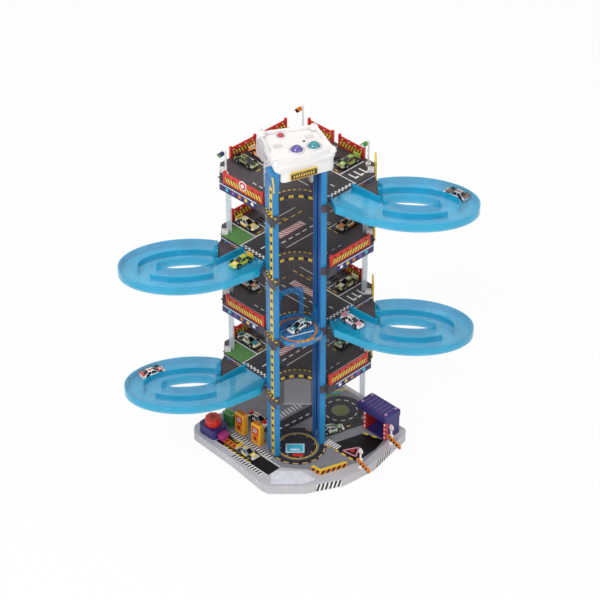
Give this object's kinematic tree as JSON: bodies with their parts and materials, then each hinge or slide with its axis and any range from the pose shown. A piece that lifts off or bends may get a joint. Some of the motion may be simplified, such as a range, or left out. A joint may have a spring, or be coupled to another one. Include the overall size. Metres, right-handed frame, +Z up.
{
  "type": "toy parking garage",
  "caption": "Tall toy parking garage with a round lift, four decks, four oval loop tracks, a car launcher and small cars.",
  "frame": {"origin": "the lift's axis, on the surface that the feet stand on", "axes": "+Z up along the lift, -Y to the viewer, +X to the viewer's right"},
  "size_m": [0.5732, 0.3385, 0.6135],
  "materials": {
    "grey_abs": "satin",
    "rubber": "matte",
    "dark_deck": "satin",
    "red_abs": "gloss",
    "column_blue": "gloss",
    "clear_blue": "translucent gloss",
    "clear_ps": "clear gloss",
    "white_abs": "gloss",
    "navy_abs": "satin",
    "yellow_abs": "gloss",
    "green_abs": "matte",
    "black_abs": "satin",
    "purple_abs": "gloss",
    "teal_abs": "gloss",
    "magenta_abs": "gloss",
    "spring_steel": "bright",
    "motor_steel": "satin",
    "board": "satin",
    "belt_rubber": "matte",
    "toy_car": "gloss",
    "striped_abs": "satin"
  },
  "bodies": {
    "tower": {"barrier_posts": "white_abs", "base_feet": "rubber", "base_tray": "grey_abs", "battery_door": "white_abs", "button_board": "board", "cars_base": "toy_car", "cars_deck_2": "toy_car", "cars_deck_3": "toy_car", "cars_deck_4": "toy_car", "cars_deck_5": "toy_car", "cars_leaving": "toy_car", "cars_on_loops": "toy_car", "collar_screws": "motor_steel", "column_left": "column_blue", "column_right": "column_blue", "corner_flags": "striped_abs", "corner_posts": "clear_ps", "corner_stripe_panels": "striped_abs", "deck_2": "dark_deck", "deck_3": "dark_deck", "deck_4": "dark_deck", "deck_5": "dark_deck", "dome_spring_left": "spring_steel", "dome_spring_right": "spring_steel", "fences_2": "red_abs", "fences_3": "red_abs", "fences_4": "red_abs", "fences_5": "red_abs", "fuel_pumps": "yellow_abs", "garage_frame": "navy_abs", "garage_red_wall": "red_abs", "garage_roof": "navy_abs", "gear_motor": "motor_steel", "hedge": "green_abs", "house_console": "white_abs", "house_shell": "white_abs", "idler_axle": "motor_steel", "launch_spring": "spring_steel", "launcher_housing": "navy_abs", "lift_belt": "belt_rubber", "loop_left_lower": "clear_blue", "loop_left_upper": "clear_blue", "loop_right_lower": "clear_blue", "loop_right_upper": "clear_blue", "rear_ramp": "grey_abs", "road_block": "striped_abs", "roof_light": "red_abs", "sign_plate": "striped_abs"},
    "turntable": {"turntable_disc": "black_abs"},
    "lift": {"lift_carriage": "clear_blue", "car_in_lift": "toy_car"},
    "drive_wheel": {"drive_pulley": "white_abs"},
    "idler_wheel": {"idler_pulley": "white_abs"},
    "launch_key": {"launch_button": "red_abs"},
    "pusher": {"launch_pusher": "magenta_abs"},
    "launch_car": {"car_on_launcher": "toy_car"},
    "arm_right": {"barrier_arm_right": "striped_abs"},
    "arm_front": {"barrier_arm_front": "striped_abs"},
    "dome_left": {"dome_button_left": "purple_abs"},
    "dome_right": {"dome_button_right": "teal_abs"}
  },
  "joints": [
    {"name": "lift_travel", "type": "slide", "parent": "tower", "child": "lift", "axis": [0, 0, 1], "range_m": [-0.241, 0.24]},
    {"name": "drive_turn", "type": "hinge", "parent": "tower", "child": "drive_wheel", "pos_m": [0.03597, 0.02031, 0.581], "axis": [0.9239, 0.3827, 0], "range_deg": [-1700, 1700]},
    {"name": "idler_turn", "type": "hinge", "parent": "tower", "child": "idler_wheel", "pos_m": [0.03597, 0.02031, 0.03], "axis": [0.9239, 0.3827, 0], "range_deg": [-1700, 1700]},
    {"name": "turntable_turn", "type": "hinge", "parent": "tower", "child": "turntable", "pos_m": [0, 0, 0.0185], "axis": [0, 0, 1], "continuous": true},
    {"name": "launch_press", "type": "slide", "parent": "tower", "child": "launch_key", "axis": [0, 0, -1], "range_m": [0, 0.008], "stiffness_N_per_m": 150, "springref_m": -0.004, "deforming": ["launch_spring"]},
    {"name": "pusher_slide", "type": "slide", "parent": "tower", "child": "pusher", "axis": [0.7071, -0.7071, 0], "range_m": [0, 0.0162]},
    {"name": "launch_car_roll", "type": "slide", "parent": "tower", "child": "launch_car", "axis": [0.7071, -0.7071, 0], "range_m": [-0.0135, 0.04]},
    {"name": "arm_right_lift", "type": "hinge", "parent": "tower", "child": "arm_right", "pos_m": [0.158, 0.007, 0.036], "axis": [-0.848, -0.5299, 0], "range_deg": [0, 85]},
    {"name": "arm_front_lift", "type": "hinge", "parent": "tower", "child": "arm_front", "pos_m": [0.105, -0.055, 0.036], "axis": [-0.848, -0.5299, 0], "range_deg": [0, 85]},
    {"name": "dome_left_press", "type": "slide", "parent": "tower", "child": "dome_left", "axis": [0, 0, -1], "range_m": [0, 0.003], "stiffness_N_per_m": 120, "springref_m": -0.002, "deforming": ["dome_spring_left"]},
    {"name": "dome_right_press", "type": "slide", "parent": "tower", "child": "dome_right", "axis": [0, 0, -1], "range_m": [0, 0.003], "stiffness_N_per_m": 120, "springref_m": -0.002, "deforming": ["dome_spring_right"]}
  ],
  "couplings": [
    {"joint": "drive_turn", "follows": "lift_travel", "rad_per_m": 116.28},
    {"joint": "idler_turn", "follows": "lift_travel", "rad_per_m": 116.28},
    {"joint": "pusher_slide", "follows": "launch_press", "ratio": 2}
  ]
}
